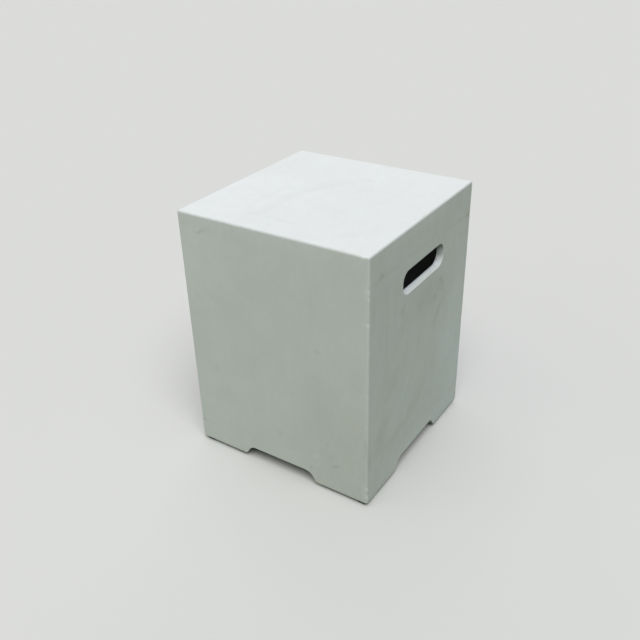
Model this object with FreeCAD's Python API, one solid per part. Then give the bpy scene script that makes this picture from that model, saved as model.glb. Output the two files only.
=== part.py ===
"""Propane tank cover table: an open-bottomed box cast in fibre-reinforced concrete.

It drops over a gas cylinder and its flat top is a side table. Millimetres, +Z up. The origin is on
the floor at the centre of the footprint. The front face looks along -Y, and the two faces with a
hand slot look along -X and +X.
"""

import FreeCAD, Part
import math
import os

Vector = FreeCAD.Vector

# Overall size of the table
table_width = 400.0             # across X, over the two slotted faces
table_depth = 400.0             # across Y
table_height = 520.0            # from the floor to the table top, standing on its pads

# The casting
wall_at_top = 15.5              # wall where it meets the top
wall_at_rim = 13.5              # wall at the open rim, thinner so that the core draws out downwards
top_thickness = 20.0
vertical_edge_radius = 4.0      # the four upright outer corners
top_edge_radius = 3.0           # the edge round the table top
ceiling_cove_radius = 14.0      # inside, where the walls meet the underside of the top
rim_bevel = 1.6                 # eased edges of the rim, the feet and the notches

# Hand slots, one in each face across X
slot_length = 161.0
slot_height = 46.0
slot_corner_radius = 20.0
slot_below_top = 102.5          # from the table top down to the middle of the slot
slot_lip_radius = 1.2           # where the slot breaks out of the outer face
slot_inner_bevel = 1.6          # where it breaks into the hollow

# Base notches, one in the middle of each of the four sides
notch_width = 170.0             # along the rim
notch_height = 21.5             # above the rim
notch_side_lean = 32.0          # degrees that its ends lean in from the upright
notch_corner_radius = 18.0      # upper corners of the notch
toe_radius = 6.0                # lower corners, at the toes of the feet

# Square rubber pads bolted under the four corner feet
pad_side = 20.0
pad_height = 8.0
pad_corner_radius = 4.0
pad_floor_bevel = 1.2           # on the pad's edge at the floor
pad_setback = 5.0               # casting left between a pad and each outer face
pad_land = 2.0                  # casting left between a pad and the cove inside the corner
rubber_under_head = 2.5         # rubber between the washer and the casting

# Plate washer, bolt and cast-in hexagonal insert of each pad
washer_side = 11.5
washer_thickness = 1.2
thread_radius = 2.5             # M5
bolt_length = 16.0              # under the head
bolt_head_height = 3.5
bolt_head_flats = 8.0           # across flats
insert_flats = 9.0              # across flats
insert_length = 16.0
insert_bore_depth = 14.0

# Clearances
thread_clearance = 0.05         # radial, bolt in insert
hole_clearance = 0.25           # radial, bolt in pad and washer
recess_clearance = 0.5          # each side of the washer in the pad's recess
overcut = 5.0                   # how far a cutter runs past the face it breaks through
touching = 1e-6                 # closer than this, two heights or points are the same

# Heights and half-sizes that follow from the sizes above
rim_z = pad_height
slot_z = table_height - slot_below_top
ceiling_z = table_height - top_thickness
half_width = table_width / 2.0
half_depth = table_depth / 2.0
half_pad = pad_side / 2.0
pad_inset = pad_setback + half_pad
seat_z = pad_height - rubber_under_head         # top of the washer
head_z = seat_z - washer_thickness              # where the bolt head bears on the washer
head_bottom_z = head_z - bolt_head_height
hole_radius = thread_radius + hole_clearance

# The cove inside each corner is as large as the pad's land needs on the rim's diagonal.
root_two = math.sqrt(2.0)
pad_reach = half_pad * root_two - pad_corner_radius * (root_two - 1.0)
cove_radius_at_rim = (
    (pad_reach + pad_land + root_two * (pad_inset - wall_at_rim)) / (root_two - 1.0)
)

CORNERS = {
    "front_left": (-1, -1),
    "front_right": (1, -1),
    "back_right": (1, 1),
    "back_left": (-1, 1),
}


def unit(vector):
    """The vector at length one."""
    return vector * (1.0 / vector.Length)


def rounded_wire(corners, place):
    """A closed wire through (u, v, radius) corners, each with a tangent arc of its radius.

    place turns u and v into a point in space. A radius of 0 leaves the corner sharp.
    """
    points = [place(u, v) for u, v, radius in corners]
    starts = []
    ends = []
    edges = []
    for index, (u, v, radius) in enumerate(corners):
        point = points[index]
        if radius <= 0.0:
            starts.append(point)
            ends.append(point)
            continue
        back = unit(points[index - 1] - point)
        ahead = unit(points[(index + 1) % len(points)] - point)
        half_angle = back.getAngle(ahead) / 2.0
        start = point + back * (radius / math.tan(half_angle))
        end = point + ahead * (radius / math.tan(half_angle))
        inward = unit(back + ahead)
        middle = point + inward * (radius / math.sin(half_angle) - radius)
        edges.append(Part.Arc(start, middle, end).toShape())
        starts.append(start)
        ends.append(end)
    for index in range(len(corners)):
        line_start = ends[index - 1]
        line_end = starts[index]
        if (line_end - line_start).Length > touching:
            edges.append(Part.LineSegment(line_start, line_end).toShape())
    return Part.Wire(Part.__sortEdges__(edges))


def level(z, centre=Vector(0, 0, 0)):
    """Placing in the level plane at height z, about the centre."""
    return lambda u, v: Vector(centre.x + u, centre.y + v, z)


def prism(corners, place, travel):
    """The solid that the closed outline of corners sweeps along the travel vector."""
    return Part.Face(rounded_wire(corners, place)).extrude(travel)


def rectangle(half_u, half_v, radius):
    """Corners of a centred rectangle with rounded corners."""
    return [
        (-half_u, -half_v, radius),
        (half_u, -half_v, radius),
        (half_u, half_v, radius),
        (-half_u, half_v, radius),
    ]


def hexagon(flats):
    """Corners of a hexagon that measures flats across its flats."""
    reach = flats / math.sqrt(3.0)
    angles = [math.radians(60.0 * step) for step in range(6)]
    return [(reach * math.cos(angle), reach * math.sin(angle), 0.0) for angle in angles]


def bore(centre, radius, z, depth):
    """The cylinder that a drilled hole takes away, upwards from height z."""
    return Part.makeCylinder(radius, depth, Vector(centre.x, centre.y, z))


def outer_block():
    """The casting before it is hollowed, with its upright corners and its top edge rounded."""
    outline = rectangle(half_width, half_depth, vertical_edge_radius)
    block = prism(outline, level(rim_z), Vector(0, 0, table_height - rim_z))
    top_edges = [edge for edge in block.Edges if edge.BoundBox.ZMin > table_height - touching]
    return block.makeFillet(top_edge_radius, top_edges)


def wall_at(z):
    """Thickness of the wall at height z."""
    rise = (z - rim_z) / (ceiling_z - rim_z)
    return wall_at_rim + (wall_at_top - wall_at_rim) * rise


def core_wire(z):
    """Section of the hollow at height z: the walls draw in upwards and keep one cove centre."""
    wall = wall_at(z)
    cove_radius = cove_radius_at_rim - (wall - wall_at_rim)
    return rounded_wire(rectangle(half_width - wall, half_depth - wall, cove_radius), level(z))


def core():
    """The drafted hollow, running out past the rim, with a cove all round its ceiling."""
    body = Part.makeLoft([core_wire(rim_z - overcut), core_wire(ceiling_z)], True, True)
    ceiling_edges = [edge for edge in body.Edges if edge.BoundBox.ZMin > ceiling_z - touching]
    return body.makeFillet(ceiling_cove_radius, ceiling_edges)


def hand_slot_cutter():
    """One long rounded bar that cuts the slots in both faces across X."""
    radius = min(slot_corner_radius, slot_height / 2.0 - 0.01)
    start_x = -half_width - overcut
    return prism(
        rectangle(slot_length / 2.0, slot_height / 2.0, radius),
        lambda u, v: Vector(start_x, u, slot_z + v),
        Vector(-2.0 * start_x, 0, 0),
    )


def notch_outline():
    """Outline of a base notch, with the rounded toes of the feet beside it."""
    lean = notch_height * math.tan(math.radians(notch_side_lean))
    bottom = notch_width / 2.0
    top = bottom - lean
    beyond = bottom + 2.0 * toe_radius
    return [
        (-beyond, -overcut, 0.0),
        (beyond, -overcut, 0.0),
        (beyond, 0.0, 0.0),
        (bottom, 0.0, toe_radius),
        (top, notch_height, notch_corner_radius),
        (-top, notch_height, notch_corner_radius),
        (-bottom, 0.0, toe_radius),
        (-beyond, 0.0, 0.0),
    ]


def notch_cutters():
    """Two long bars that cut the notches in all four sides."""
    start_x = -half_width - overcut
    start_y = -half_depth - overcut
    across_x = prism(
        notch_outline(),
        lambda u, v: Vector(start_x, u, rim_z + v),
        Vector(-2.0 * start_x, 0, 0),
    )
    across_y = prism(
        notch_outline(),
        lambda u, v: Vector(u, start_y, rim_z + v),
        Vector(0, -2.0 * start_y, 0),
    )
    return [across_x, across_y]


def slot_edges(shell, outside):
    """The outlines of the two hand slots, on the outer faces or on the inner faces of their walls."""
    half_wall = wall_at_rim / 2.0
    reach_z = slot_height / 2.0 + touching
    reach_y = slot_length / 2.0 + touching
    outlines = []
    for edge in shell.Edges:
        box = edge.BoundBox
        in_height = box.ZMin > slot_z - reach_z and box.ZMax < slot_z + reach_z
        in_length = box.YMin > -reach_y and box.YMax < reach_y
        across_the_wall = box.XLength > half_wall
        depth = half_width - max(abs(box.XMin), abs(box.XMax))
        if in_height and in_length and not across_the_wall and (depth < half_wall) == outside:
            outlines.append(edge)
    return outlines


def rim_edges(shell):
    """The outline of the rim, round every foot and notch, on the outside and on the inside."""
    highest = rim_z + notch_height + touching
    half_wall = wall_at_rim / 2.0
    outlines = []
    for edge in shell.Edges:
        if edge.BoundBox.ZMax > highest:
            continue
        middle = edge.valueAt((edge.FirstParameter + edge.LastParameter) / 2.0)
        depth = min(half_width - abs(middle.x), half_depth - abs(middle.y))
        if abs(depth - half_wall) > half_wall / 2.0:
            outlines.append(edge)
    return outlines


def concrete_shell(insert_forms):
    """The casting: block less hollow, slots and notches, its edges eased, cast round the inserts."""
    shell = outer_block().cut(core())
    shell = shell.cut(hand_slot_cutter())
    for cutter in notch_cutters():
        shell = shell.cut(cutter)
    shell = shell.makeFillet(slot_lip_radius, slot_edges(shell, outside=True))
    shell = shell.makeChamfer(slot_inner_bevel, slot_edges(shell, outside=False))
    shell = shell.makeChamfer(rim_bevel, rim_edges(shell))
    for form in insert_forms:
        shell = shell.cut(form)
    return shell


def foot_centre(side_x, side_y):
    """Middle of a pad, on the floor."""
    return Vector(side_x * (half_width - pad_inset), side_y * (half_depth - pad_inset), 0.0)


def foot_pad(centre):
    """A square rubber pad with a recess underneath for the washer and the bolt head."""
    pad = prism(
        rectangle(half_pad, half_pad, pad_corner_radius), level(0.0, centre), Vector(0, 0, pad_height)
    )
    floor_edges = [edge for edge in pad.Edges if edge.BoundBox.ZMax < touching]
    pad = pad.makeChamfer(pad_floor_bevel, floor_edges)
    half_recess = washer_side / 2.0 + recess_clearance
    recess = prism(
        rectangle(half_recess, half_recess, recess_clearance),
        level(-overcut, centre),
        Vector(0, 0, seat_z + overcut),
    )
    return pad.cut(recess).cut(bore(centre, hole_radius, 0.0, pad_height + overcut))


def pad_washer(centre):
    """The square plate washer at the top of a pad's recess."""
    half_side = washer_side / 2.0
    plate = prism(
        rectangle(half_side, half_side, 0.0), level(head_z, centre), Vector(0, 0, washer_thickness)
    )
    return plate.cut(bore(centre, hole_radius, 0.0, pad_height))


def pad_bolt(centre):
    """A hexagon-head bolt, head down, its threads left as a plain cylinder."""
    head = prism(
        hexagon(bolt_head_flats), level(head_bottom_z, centre), Vector(0, 0, bolt_head_height)
    )
    shank_bottom = Vector(centre.x, centre.y, head_bottom_z)
    shank = Part.makeCylinder(thread_radius, bolt_head_height + bolt_length, shank_bottom)
    return head.fuse(shank).removeSplitter()


def insert_form(centre):
    """The outside of a cast-in insert: a hexagon, so that it can't turn in the concrete."""
    return prism(hexagon(insert_flats), level(rim_z, centre), Vector(0, 0, insert_length))


def foot_insert(centre):
    """The insert with its blind bore, its mouth flush with the foot."""
    return insert_form(centre).cut(
        bore(centre, thread_radius + thread_clearance, rim_z, insert_bore_depth)
    )


def build():
    """Every piece of the table, by node name."""
    centres = {name: foot_centre(*sides) for name, sides in CORNERS.items()}
    pieces = {"concrete_shell": concrete_shell([insert_form(place) for place in centres.values()])}
    for name, place in centres.items():
        pieces["foot_pad_" + name] = foot_pad(place)
        pieces["pad_washer_" + name] = pad_washer(place)
        pieces["pad_bolt_" + name] = pad_bolt(place)
        pieces["foot_insert_" + name] = foot_insert(place)
    return pieces


os.makedirs("parts", exist_ok=True)
for node, shape in build().items():
    solid = shape.Solids[0]
    solid.exportStep("parts/" + node + ".step")
    print(node, "valid", solid.isValid(), "solids", len(shape.Solids), "volume", round(solid.Volume, 1))
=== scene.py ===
"""Looks of a propane tank cover table: a light grey concrete casting on four bolted rubber pads.

Everything is in metres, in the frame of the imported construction: +Z up, the floor at z = 0, the plain
front face along -Y, and a hand slot in each of the two faces across X.
"""

import logging
import math
import random
from dataclasses import dataclass, field
from enum import Enum
from typing import Callable, ClassVar, Iterable, Optional, Union

import bmesh
import bpy
from mathutils import Matrix, Vector, noise


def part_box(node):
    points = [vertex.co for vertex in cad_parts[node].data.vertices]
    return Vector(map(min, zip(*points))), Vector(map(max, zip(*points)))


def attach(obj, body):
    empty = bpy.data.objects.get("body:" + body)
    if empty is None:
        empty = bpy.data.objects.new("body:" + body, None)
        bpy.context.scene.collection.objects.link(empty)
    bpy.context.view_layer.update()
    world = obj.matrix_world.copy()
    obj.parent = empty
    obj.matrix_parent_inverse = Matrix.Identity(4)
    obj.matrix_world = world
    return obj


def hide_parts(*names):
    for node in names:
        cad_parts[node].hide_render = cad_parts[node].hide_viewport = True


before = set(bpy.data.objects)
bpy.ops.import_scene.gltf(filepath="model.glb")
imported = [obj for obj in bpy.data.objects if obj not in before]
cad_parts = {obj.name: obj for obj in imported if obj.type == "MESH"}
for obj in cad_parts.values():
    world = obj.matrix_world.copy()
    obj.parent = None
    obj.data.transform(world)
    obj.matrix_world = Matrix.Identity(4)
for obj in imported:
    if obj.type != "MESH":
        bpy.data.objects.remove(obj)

LOG = logging.getLogger("tank_cover_table")
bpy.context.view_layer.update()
BODY = "root"
CASTING = "concrete_shell"
MM = 0.001
# What is nearer than this to a height lies at it
HAIR = 0.01 * MM
# Points that are nearer than this to each other are one
WELD = 1e-6
HEXAGON = 6

Object = bpy.types.Object
Material = bpy.types.Material
Edges = list[bmesh.types.BMEdge]
Faces = list[bmesh.types.BMFace]
Pair = tuple[float, float]
Triple = tuple[float, float, float]
Colour = tuple[float, float, float, float]
Value = Union[float, tuple, Vector, "Signal"]


class Corner(Enum):
    """The four feet of the casting, by the node names of their pieces."""

    FRONT_LEFT = "front_left"
    FRONT_RIGHT = "front_right"
    BACK_RIGHT = "back_right"
    BACK_LEFT = "back_left"


class Axis(Enum):
    """A direction of the frame, by the place of its number in a vector."""

    X = 0
    Y = 1
    Z = 2

    def unit(self) -> Vector:
        """The unit vector along this axis."""
        return Vector([1.0 if place == self.value else 0.0 for place in range(3)])


class Face(Enum):
    """An outer face of the casting, seen from outside.

    The value is (signs of its upper left corner, the way to its right, the way down it). On the top,
    down is towards the front.
    """

    FRONT = ((-1, -1, 1), (1, 0, 0), (0, 0, -1))
    RIGHT = ((1, -1, 1), (0, 1, 0), (0, 0, -1))
    BACK = ((1, 1, 1), (-1, 0, 0), (0, 0, -1))
    LEFT = ((-1, 1, 1), (0, -1, 0), (0, 0, -1))
    TOP = ((-1, 1, 1), (1, 0, 0), (0, -1, 0))

    @property
    def right(self) -> Vector:
        """The way to the face's right."""
        return Vector(self.value[1])

    @property
    def below(self) -> Vector:
        """The way down the face."""
        return Vector(self.value[2])

    @property
    def outward(self) -> Vector:
        """The way out of the face."""
        return self.below.cross(self.right)

    def place(self, along: float, down: float) -> Vector:
        """The point of this face that lies along and down from its upper left corner.

        Args:
            along: Distance to the right of the corner.
            down: Distance below the corner.

        Returns:
            The point in the frame.
        """
        low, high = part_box(CASTING)
        corner = Vector([high[i] if sign > 0 else low[i] for i, sign in enumerate(self.value[0])])
        return corner + self.right * along + self.below * down


class Workpiece:
    """A mesh on the bench: it starts from a plain form, is cut and eased, and ends as an object."""

    def __init__(self) -> None:
        """Starts with nothing on the bench."""
        self.bm = bmesh.new()

    @classmethod
    def block(cls, low: Vector, high: Vector) -> "Workpiece":
        """A box with level and upright sides.

        Args:
            low: Its lowest corner.
            high: Its highest corner.

        Returns:
            The box.
        """
        work = cls()
        size = high - low
        place = Matrix.Translation((low + high) / 2.0) @ Matrix.Diagonal((*size, 1.0))
        bmesh.ops.create_cube(work.bm, size=1.0, matrix=place)
        return work

    @classmethod
    def round_bar(cls, foot: Vector, radii: Pair, height: float, sides: int) -> "Workpiece":
        """An upright cylinder or cone.

        Args:
            foot: Middle of its lower end.
            radii: Radius of its lower and of its upper end.
            height: Its height.
            sides: How many flats stand for the round.

        Returns:
            The bar, with a corner of its section on the X axis.
        """
        work = cls()
        quarter_turn = Matrix.Rotation(math.radians(90.0), 4, "Z")
        place = Matrix.Translation(foot + Vector((0.0, 0.0, height / 2.0))) @ quarter_turn
        bmesh.ops.create_cone(
            work.bm, cap_ends=True, segments=sides, radius1=radii[0], radius2=radii[1],
            depth=height, matrix=place,
        )
        return work

    @classmethod
    def flared_bar(
        cls, corners: list[Triple], along: Axis, stations: list[Pair], segments: int
    ) -> "Workpiece":
        """A bar with a rounded outline that grows and shrinks along its length.

        Args:
            corners: The outline's (u, v, radius) corners at its start, u along Y or X and v along Z.
            along: The axis that the bar runs along, X or Y.
            stations: (place along the axis, how far the outline has grown there since its start).
            segments: How many edges each rounded corner gets.

        Returns:
            The closed bar.
        """
        work = cls()
        across = Axis.Y if along is Axis.X else Axis.X
        start, grown = stations[0]
        points = [along.unit() * start + across.unit() * u + Vector((0, 0, v)) for u, v, _ in corners]
        ring = [work.bm.verts.new(point) for point in points]
        work.bm.faces.new(ring)
        for index, (_, _, radius) in enumerate(corners):
            if radius > 0.0:
                back = points[index - 1] - points[index]
                ahead = points[(index + 1) % len(points)] - points[index]
                reach = radius / math.tan(back.angle(ahead) / 2.0)
                bmesh.ops.bevel(
                    work.bm, geom=[ring[index]], offset=reach, offset_type="OFFSET", segments=segments,
                    profile=0.5, affect="VERTICES", material=-1,
                )
        end = work.bm.faces[:][0]
        end.normal_update()
        if end.normal.dot(along.unit()) < 0.0:
            end.normal_flip()
        made = bmesh.ops.extrude_face_region(work.bm, geom=[end], use_keep_orig=True)
        end = next(item for item in made["geom"] if isinstance(item, bmesh.types.BMFace))
        for place, growth in stations[1:]:
            end.normal_update()
            bmesh.ops.inset_individual(
                work.bm, faces=[end], thickness=grown - growth, depth=place - start,
                use_even_offset=True,
            )
            start, grown = place, growth
        bmesh.ops.remove_doubles(work.bm, verts=work.bm.verts[:], dist=WELD)
        bmesh.ops.recalc_face_normals(work.bm, faces=work.bm.faces[:])
        return work

    def edges_where(self, wanted: Callable[[bmesh.types.BMEdge], bool]) -> Edges:
        """The edges that pass a test."""
        return [edge for edge in self.bm.edges if wanted(edge)]

    def standing(self, least: float = MM) -> Edges:
        """The edges that rise by more than a least height."""
        return self.edges_where(lambda edge: abs(edge.verts[0].co.z - edge.verts[1].co.z) > least)

    def above(self, height: float) -> Edges:
        """The edges that lie wholly above a height."""
        return self.edges_where(lambda edge: min(vert.co.z for vert in edge.verts) > height)

    def ease(self, edges: Edges, radius: float, segments: int) -> None:
        """Rounds some edges.

        Args:
            edges: The edges.
            radius: How far the rounding reaches on both sides of an edge.
            segments: How many flats stand for the rounding.
        """
        bmesh.ops.bevel(
            self.bm, geom=edges, offset=radius, offset_type="OFFSET", segments=segments, profile=0.5,
            affect="EDGES", clamp_overlap=False, material=-1,
        )

    def _combine(self, other: "Workpiece", operation: str) -> None:
        """Replaces this mesh by what a solid operation leaves.

        Args:
            other: The other solid.
            operation: The modifier's name for what is done with it.
        """
        scratch = [bpy.data.objects.new(name, bpy.data.meshes.new(name)) for name in ("kept", "tool")]
        for item, work in zip(scratch, (self, other)):
            work.bm.to_mesh(item.data)
            bpy.context.scene.collection.objects.link(item)
        kept, tool = scratch
        step = kept.modifiers.new("solid", "BOOLEAN")
        step.object = tool
        step.operation = operation
        step.solver = "EXACT"
        depsgraph = bpy.context.evaluated_depsgraph_get()
        result = bpy.data.meshes.new_from_object(kept.evaluated_get(depsgraph))
        self.bm.clear()
        self.bm.from_mesh(result)
        bmesh.ops.remove_doubles(self.bm, verts=self.bm.verts[:], dist=WELD)
        for mesh in (kept.data, tool.data, result):
            bpy.data.meshes.remove(mesh)

    def cut(self, tool: "Workpiece") -> None:
        """Takes the tool's volume away."""
        self._combine(tool, "DIFFERENCE")

    def trim_to(self, envelope: "Workpiece") -> None:
        """Keeps only what lies inside the envelope."""
        self._combine(envelope, "INTERSECT")

    def join(self, other: "Workpiece") -> None:
        """Adds the other solid."""
        self._combine(other, "UNION")

    def slice(self, axis: Axis, places: Iterable[float], faces: Faces) -> None:
        """Cuts lines across faces, which gives a flat surface the points that it needs to be uneven.

        What is cut is handed over in the same order each time, so that the points come out the same.

        Args:
            axis: The axis that the cuts stand square to.
            places: Where on the axis each cut lies.
            faces: The faces that are cut.
        """
        edges = dict.fromkeys(edge for face in faces for edge in face.edges)
        verts = dict.fromkeys(vert for face in faces for vert in face.verts)
        geometry = [*verts, *edges, *faces]
        for place in places:
            made = bmesh.ops.bisect_plane(
                self.bm, geom=geometry, dist=WELD, plane_co=axis.unit() * place, plane_no=axis.unit()
            )
            geometry = made["geom"]

    def finish(self, name: str, material: Material, sharp: float = 38.0) -> Object:
        """Makes the workpiece an object of the scene.

        Args:
            name: The object's name.
            material: Its finish.
            sharp: Edges that turn by more than this many degrees stay crisp.

        Returns:
            The object, at the origin, with its place in its mesh.
        """
        self.bm.normal_update()
        for face in self.bm.faces:
            face.smooth = True
        for edge in self.bm.edges:
            edge.smooth = edge.calc_face_angle(0.0) < math.radians(sharp)
        mesh = bpy.data.meshes.new(name)
        self.bm.to_mesh(mesh)
        self.bm.free()
        mesh.materials.append(material)
        piece = bpy.data.objects.new(name, mesh)
        bpy.context.scene.collection.objects.link(piece)
        normals = piece.modifiers.new("even_normals", "WEIGHTED_NORMAL")
        normals.keep_sharp = True
        return piece


def dress(piece: Object, node: str, slot: str) -> Object:
    """Puts a piece in the place of its node in the construction.

    Args:
        piece: The finished piece.
        node: The node that it stands for.
        slot: The material slot of its finish.

    Returns:
        The same piece.
    """
    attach(piece, BODY)
    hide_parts(node)
    LOG.info("%s: %d faces, for %s in %s", piece.name, len(piece.data.polygons), node, slot)
    return piece


def on_axis(node: str, height: float) -> Vector:
    """The point at a height on a node's own upright axis."""
    low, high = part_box(node)
    return Vector(((low.x + high.x) / 2.0, (low.y + high.y) / 2.0, height))


@dataclass(frozen=True)
class Grain:
    """A kind of cloudy noise.

    Attributes:
        size: How wide one cloud is, in metres.
        detail: How many finer layers are added.
        rough: How strong each finer layer is.
        stretch: How much longer the clouds are along each axis.
    """

    size: float
    detail: float = 2.0
    rough: float = 0.5
    stretch: Triple = (1.0, 1.0, 1.0)


class Signal:
    """A number, a vector or a colour that nodes work out at each place."""

    to_number = ("LENGTH", "DOT_PRODUCT", "DISTANCE")

    def __init__(self, bench: "NodeBench", socket: bpy.types.NodeSocket, wide: bool = False) -> None:
        """Keeps the output that gives it, and whether it has three numbers.

        Args:
            bench: The bench that its node is on.
            socket: The node's output.
            wide: Whether it is a vector or a colour.
        """
        self.bench = bench
        self.socket = socket
        self.wide = wide

    def sum(self, operation: str, first: Value, second: Value = 0.0) -> "Signal":
        """One sum of this signal's kind, on numbers or on vectors.

        Args:
            operation: The node's name for it.
            first: The first number or vector.
            second: The second one.

        Returns:
            What the sum gives.
        """
        kind = "ShaderNodeVectorMath" if self.wide else "ShaderNodeMath"
        made = self.bench.node(kind, operation=operation)
        self.bench.put(made.inputs[0], first)
        self.bench.put(made.inputs[1], second)
        wide = self.wide and operation not in self.to_number
        return Signal(self.bench, made.outputs["Vector" if wide else "Value"], wide)

    def __add__(self, other: Value) -> "Signal":
        """This plus the other."""
        return self.sum("ADD", self, other)

    def __radd__(self, other: Value) -> "Signal":
        """The other plus this."""
        return self.sum("ADD", other, self)

    def __sub__(self, other: Value) -> "Signal":
        """This less the other."""
        return self.sum("SUBTRACT", self, other)

    def __rsub__(self, other: Value) -> "Signal":
        """The other less this."""
        return self.sum("SUBTRACT", other, self)

    def __mul__(self, other: Value) -> "Signal":
        """This times the other."""
        return self.sum("MULTIPLY", self, other)

    def __abs__(self) -> "Signal":
        """This without its sign."""
        return self.sum("ABSOLUTE", self)

    def least(self, other: Value) -> "Signal":
        """The smaller of this and the other."""
        return self.sum("MINIMUM", self, other)

    def most(self, other: Value) -> "Signal":
        """The larger of this and the other."""
        return self.sum("MAXIMUM", self, other)

    def dot(self, other: Value) -> "Signal":
        """How far this vector goes along the other."""
        return self.sum("DOT_PRODUCT", self, other)

    def distance(self, other: Value) -> "Signal":
        """How far this place is from the other."""
        return self.sum("DISTANCE", self, other)

    def length(self) -> "Signal":
        """How long this vector is."""
        return self.sum("LENGTH", self)

    def parts(self) -> tuple["Signal", "Signal", "Signal"]:
        """The three numbers of this vector.

        Returns:
            What it has along X, Y and Z.
        """
        made = self.bench.node("ShaderNodeSeparateXYZ")
        self.bench.put(made.inputs[0], self)
        across, deep, high = (Signal(self.bench, output) for output in made.outputs)
        return across, deep, high

    def mapped(self, interpolation: str, *limits: float) -> "Signal":
        """This number carried from one stretch of numbers to another.

        Args:
            interpolation: The node's name for the way between.
            limits: Start, stop, and what it gives up to the start and from the stop on.

        Returns:
            The carried number.
        """
        made = self.bench.node("ShaderNodeMapRange", interpolation_type=interpolation)
        for place, number in enumerate((self, *limits)):
            self.bench.put(made.inputs[place], number)
        return Signal(self.bench, made.outputs[0])

    def ramp(self, start: float, stop: float, low: float = 0.0, high: float = 1.0) -> "Signal":
        """A smooth step that this number drives, from low up to start to high from stop on."""
        return self.mapped("SMOOTHSTEP", start, stop, low, high)

    def share(self, start: float, stop: float) -> "Signal":
        """How far this number has gone from start (0) to stop (1), in a straight line."""
        return self.mapped("LINEAR", start, stop, 0.0, 1.0)

    def swing(self, amount: float) -> "Signal":
        """This noise about 0.5 made into a number about 0, up to the amount either way."""
        return (self - 0.5) * (2.0 * amount)


class NodeBench:
    """Adds and joins nodes in one tree."""

    def __init__(self, tree: bpy.types.NodeTree) -> None:
        """Takes the tree that the nodes go into."""
        self.tree = tree

    def node(self, kind: str, **settings: Union[str, bool]) -> bpy.types.ShaderNode:
        """Adds a node.

        Args:
            kind: The node's type.
            settings: Its settings, by name.

        Returns:
            The new node.
        """
        made = self.tree.nodes.new(kind)
        for name, value in settings.items():
            setattr(made, name, value)
        return made

    def put(self, socket: bpy.types.NodeSocket, value: Value) -> None:
        """Gives an input what it works on.

        Args:
            socket: The input.
            value: A number, a vector, a colour or another node's signal.
        """
        if isinstance(value, Signal):
            self.tree.links.new(value.socket, socket)
        elif socket.type == "VECTOR" and isinstance(value, float):
            socket.default_value = (value, value, value)
        else:
            socket.default_value = value

    def join(self, first: Value, second: Value, third: Value = 0.0) -> Signal:
        """Makes a vector of three numbers.

        Args:
            first: Its number along X.
            second: Its number along Y.
            third: Its number along Z.

        Returns:
            The vector.
        """
        made = self.node("ShaderNodeCombineXYZ")
        for place, number in enumerate((first, second, third)):
            self.put(made.inputs[place], number)
        return Signal(self, made.outputs[0], wide=True)

    def looked_at(self) -> Signal:
        """Tells what is looked at from what only throws light.

        Returns:
            1 where it is looked at, straight, in a reflection or through something clear, and else 0.
        """
        path = self.node("ShaderNodeLightPath")
        straight, mirrored, through = (
            Signal(self, path.outputs[f"Is {ray} Ray"]) for ray in ("Camera", "Glossy", "Transmission")
        )
        return straight.most(mirrored).most(through)


class Finish(NodeBench):
    """The bench for one material."""

    def __init__(self, name: str) -> None:
        """Starts a material with its surface shader and its output.

        Args:
            name: The material's name.
        """
        self.material = bpy.data.materials.new(name)
        self.material.use_nodes = True
        super().__init__(self.material.node_tree)
        self.tree.nodes.clear()
        self.surface = self.node("ShaderNodeBsdfPrincipled")
        output = self.node("ShaderNodeOutputMaterial")
        self.tree.links.new(self.surface.outputs["BSDF"], output.inputs["Surface"])
        self.position = Signal(self, self.node("ShaderNodeTexCoord").outputs["Object"], wide=True)

    def give(self, name: str, value: Value) -> None:
        """Sets one of the surface's values."""
        self.put(self.surface.inputs[name], value)

    def grain(self, grain: Grain, at: Optional[Signal] = None, colour: bool = False) -> Signal:
        """Cloudy noise.

        Args:
            grain: Its kind.
            at: The place to read it at, the object's own position if none is given.
            colour: Whether three numbers are wanted and not one.

        Returns:
            A number, or a colour, about 0.5 on average.
        """
        shrink = tuple(1.0 / (grain.size * amount) for amount in grain.stretch)
        made = self.node("ShaderNodeTexNoise")
        self.put(made.inputs["Vector"], (at or self.position) * shrink)
        self.put(made.inputs["Scale"], 1.0)
        self.put(made.inputs["Detail"], grain.detail)
        self.put(made.inputs["Roughness"], grain.rough)
        return Signal(self, made.outputs["Color" if colour else "Fac"], wide=colour)

    def blend(self, share: Value, first: Value, second: Value) -> Signal:
        """Mixes two colours.

        Args:
            share: How much of the second one is in it, from 0 to 1.
            first: The first colour.
            second: The second one.

        Returns:
            The mixed colour.
        """
        made = self.node("ShaderNodeMix", data_type="RGBA")
        for place, value in ((0, share), (6, first), (7, second)):
            self.put(made.inputs[place], value)
        return Signal(self, made.outputs[2], wide=True)

    def relief(self, height: Value, depth: float) -> None:
        """Gives the surface a fine relief.

        Args:
            height: The height, from 0 to 1.
            depth: What a height of 1 is, in metres.
        """
        made = self.node("ShaderNodeBump")
        self.put(made.inputs["Height"], height)
        self.put(made.inputs["Strength"], 1.0)
        self.put(made.inputs["Distance"], depth)
        self.give("Normal", Signal(self, made.outputs["Normal"], wide=True))


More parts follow.
